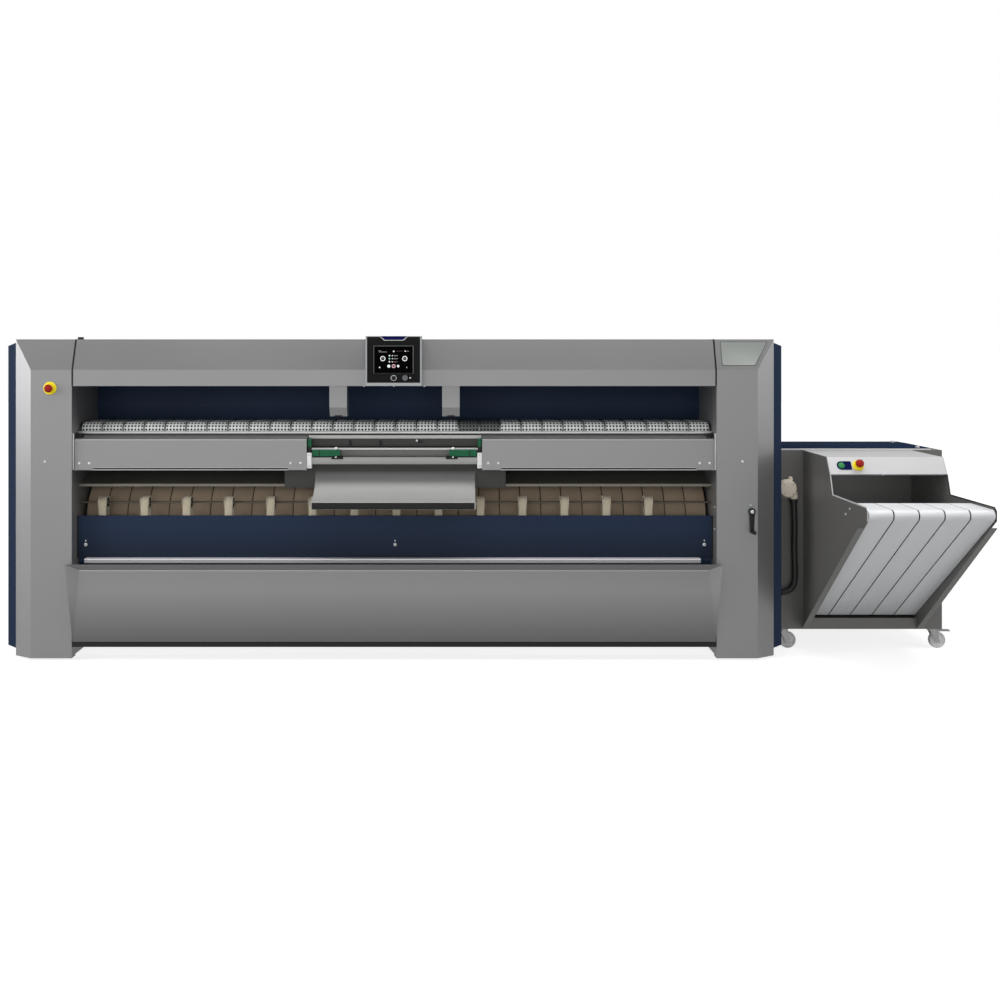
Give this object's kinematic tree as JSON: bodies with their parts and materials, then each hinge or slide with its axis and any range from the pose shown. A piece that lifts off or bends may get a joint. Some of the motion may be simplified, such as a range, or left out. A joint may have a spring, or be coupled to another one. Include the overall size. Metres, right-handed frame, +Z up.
{
  "type": "flatwork ironer",
  "caption": "Wide flatwork ironer with feed belts over a heated cylinder, a front return chute and catch tray, a touch panel, and a docked side stacker with a slanted belt conveyor on casters.",
  "frame": {"origin": "on the floor under the middle of the whole machine's bounding box", "axes": "+X to the right along the ironer's width as seen by its operator, +Y from the feeding side to the back, +Z up"},
  "size_m": [5.515, 2.116, 1.851],
  "materials": {
    "grey_paint": "satin",
    "blue_paint": "satin",
    "frame_paint": "satin",
    "bright_steel": "brushed",
    "dull_steel": "satin",
    "cast_parts": "matte",
    "feed_cloth": "matte",
    "ironing_cloth": "matte",
    "tape_cloth": "matte",
    "black_face": "gloss",
    "green_plastic": "satin",
    "red_plastic": "gloss",
    "yellow_plastic": "gloss",
    "start_green": "gloss",
    "beige_plastic": "satin",
    "cable_sheath": "matte",
    "stacker_grey": "satin",
    "stacker_light": "satin",
    "stacker_cloth": "satin",
    "tread": "matte"
  },
  "bodies": {
    "machine": {"levelling_feet": "dull_steel", "side_frame_left": "frame_paint", "side_frame_right": "frame_paint", "cross_members": "frame_paint", "column_cover_left": "grey_paint", "column_cover_right": "grey_paint", "side_panel_left": "blue_paint", "side_panel_right": "blue_paint", "top_beam_cover": "grey_paint", "cylinder_hood": "blue_paint", "sensor_arms": "grey_paint", "rear_panel": "grey_paint", "control_housing": "bright_steel", "control_face": "black_face", "stop_rings": "yellow_plastic", "feed_belts": "feed_cloth", "feeder_frame": "frame_paint", "feeder_covers": "grey_paint", "front_rails": "bright_steel", "clamp_rails": "bright_steel", "chute_tray": "bright_steel", "return_deck": "bright_steel", "bearings": "cast_parts", "gearmotor": "cast_parts", "ironing_belts": "ironing_cloth", "linen_tapes": "tape_cloth", "lower_guard": "blue_paint", "cover_screws": "dull_steel", "catch_tray": "grey_paint", "stacker_cabinet": "stacker_grey", "stacker_top": "blue_paint", "hopper_walls": "stacker_grey", "stacker_console": "stacker_light", "stacker_belts": "stacker_cloth", "stacker_bed": "dull_steel", "junction_box": "beige_plastic", "control_cable": "cable_sheath"},
    "cylinder": {"heated_cylinder": "bright_steel"},
    "tension": {"tension_roller": "dull_steel"},
    "upper_pulleys": {"tape_pulleys_upper": "dull_steel"},
    "lower_pulleys": {"tape_pulleys_lower": "dull_steel"},
    "feed_nose": {"feed_nose_roller": "dull_steel"},
    "feed_rear": {"feed_rear_roller": "dull_steel"},
    "left_clamp": {"clamp_left": "green_plastic"},
    "right_clamp": {"clamp_right": "green_plastic"},
    "crank": {"crank_lever": "dull_steel"},
    "column_stop": {"column_stop_button": "red_plastic"},
    "stacker_stop": {"stacker_stop_button": "red_plastic"},
    "power": {"power_button": "dull_steel"},
    "start": {"start_button": "start_green"},
    "head_roller": {"stacker_head_roller": "dull_steel"},
    "tail_roller": {"stacker_tail_roller": "dull_steel"},
    "fork_front_left": {"caster_fork_front_left": "dull_steel"},
    "wheel_front_left": {"caster_wheel_front_left": "tread"},
    "fork_front_right": {"caster_fork_front_right": "dull_steel"},
    "wheel_front_right": {"caster_wheel_front_right": "tread"},
    "fork_rear_left": {"caster_fork_rear_left": "dull_steel"},
    "wheel_rear_left": {"caster_wheel_rear_left": "tread"},
    "fork_rear_right": {"caster_fork_rear_right": "dull_steel"},
    "wheel_rear_right": {"caster_wheel_rear_right": "tread"}
  },
  "joints": [
    {"name": "cylinder_spin", "type": "hinge", "parent": "machine", "child": "cylinder", "pos_m": [-0.5325, 0.143, 0.76], "axis": [1, 0, 0], "continuous": true},
    {"name": "tension_spin", "type": "hinge", "parent": "machine", "child": "tension", "pos_m": [-0.5325, 0.598, 0.76], "axis": [1, 0, 0], "continuous": true},
    {"name": "upper_pulley_spin", "type": "hinge", "parent": "machine", "child": "upper_pulleys", "pos_m": [-0.5325, -0.165, 0.886], "axis": [1, 0, 0], "continuous": true},
    {"name": "lower_pulley_spin", "type": "hinge", "parent": "machine", "child": "lower_pulleys", "pos_m": [-0.5325, -0.165, 0.64], "axis": [1, 0, 0], "continuous": true},
    {"name": "feed_rear_spin", "type": "hinge", "parent": "machine", "child": "feed_rear", "pos_m": [-0.5325, 0.048, 1.31], "axis": [1, 0, 0], "continuous": true},
    {"name": "feed_nose_spin", "type": "hinge", "parent": "machine", "child": "feed_nose", "pos_m": [-0.5325, -0.137, 1.31], "axis": [1, 0, 0], "continuous": true},
    {"name": "stacker_tail_spin", "type": "hinge", "parent": "machine", "child": "tail_roller", "pos_m": [2.1965, -0.112, 0.262], "axis": [1, 0, 0], "continuous": true},
    {"name": "stacker_head_spin", "type": "hinge", "parent": "machine", "child": "head_roller", "pos_m": [2.1965, -1.0274, 0.941], "axis": [1, 0, 0], "continuous": true},
    {"name": "left_clamp_slide", "type": "slide", "parent": "machine", "child": "left_clamp", "axis": [1, 0, 0], "range_m": [0, 0.14]},
    {"name": "right_clamp_slide", "type": "slide", "parent": "machine", "child": "right_clamp", "axis": [-1, 0, 0], "range_m": [0, 0.14]},
    {"name": "crank_turn", "type": "hinge", "parent": "machine", "child": "crank", "pos_m": [1.5045, -0.302, 0.852], "axis": [0, -1, 0], "continuous": true},
    {"name": "column_stop_push", "type": "slide", "parent": "machine", "child": "column_stop", "axis": [0, 1, 0], "range_m": [0, 0.006]},
    {"name": "stacker_stop_push", "type": "slide", "parent": "machine", "child": "stacker_stop", "axis": [0, 0.8575, -0.5145], "range_m": [0, 0.006]},
    {"name": "power_push", "type": "slide", "parent": "machine", "child": "power", "axis": [0, 1, 0], "range_m": [0, 0.004], "stiffness_N_per_m": 900},
    {"name": "start_push", "type": "slide", "parent": "machine", "child": "start", "axis": [0, 0.8575, -0.5145], "range_m": [0, 0.004], "stiffness_N_per_m": 900},
    {"name": "swivel_front_left", "type": "hinge", "parent": "machine", "child": "fork_front_left", "pos_m": [1.7675, -0.027, 0.1], "axis": [0, 0, 1], "continuous": true},
    {"name": "roll_front_left", "type": "hinge", "parent": "fork_front_left", "child": "wheel_front_left", "pos_m": [1.7935, -0.027, 0.048], "axis": [0, 1, 0], "continuous": true},
    {"name": "swivel_front_right", "type": "hinge", "parent": "machine", "child": "fork_front_right", "pos_m": [2.6575, -0.027, 0.1], "axis": [0, 0, 1], "continuous": true},
    {"name": "roll_front_right", "type": "hinge", "parent": "fork_front_right", "child": "wheel_front_right", "pos_m": [2.6835, -0.027, 0.048], "axis": [0, 1, 0], "continuous": true},
    {"name": "swivel_rear_left", "type": "hinge", "parent": "machine", "child": "fork_rear_left", "pos_m": [1.7675, 0.413, 0.1], "axis": [0, 0, 1], "continuous": true},
    {"name": "roll_rear_left", "type": "hinge", "parent": "fork_rear_left", "child": "wheel_rear_left", "pos_m": [1.7935, 0.413, 0.048], "axis": [0, 1, 0], "continuous": true},
    {"name": "swivel_rear_right", "type": "hinge", "parent": "machine", "child": "fork_rear_right", "pos_m": [2.6575, 0.413, 0.1], "axis": [0, 0, 1], "continuous": true},
    {"name": "roll_rear_right", "type": "hinge", "parent": "fork_rear_right", "child": "wheel_rear_right", "pos_m": [2.6835, 0.413, 0.048], "axis": [0, 1, 0], "continuous": true}
  ],
  "couplings": [
    {"joint": "tension_spin", "follows": "cylinder_spin", "ratio": 3.9917},
    {"joint": "upper_pulley_spin", "follows": "cylinder_spin", "ratio": -7.4844},
    {"joint": "lower_pulley_spin", "follows": "cylinder_spin", "ratio": -7.4844},
    {"joint": "feed_nose_spin", "follows": "feed_rear_spin", "ratio": 1},
    {"joint": "stacker_head_spin", "follows": "stacker_tail_spin", "ratio": 1.5},
    {"joint": "right_clamp_slide", "follows": "left_clamp_slide", "ratio": 1}
  ]
}
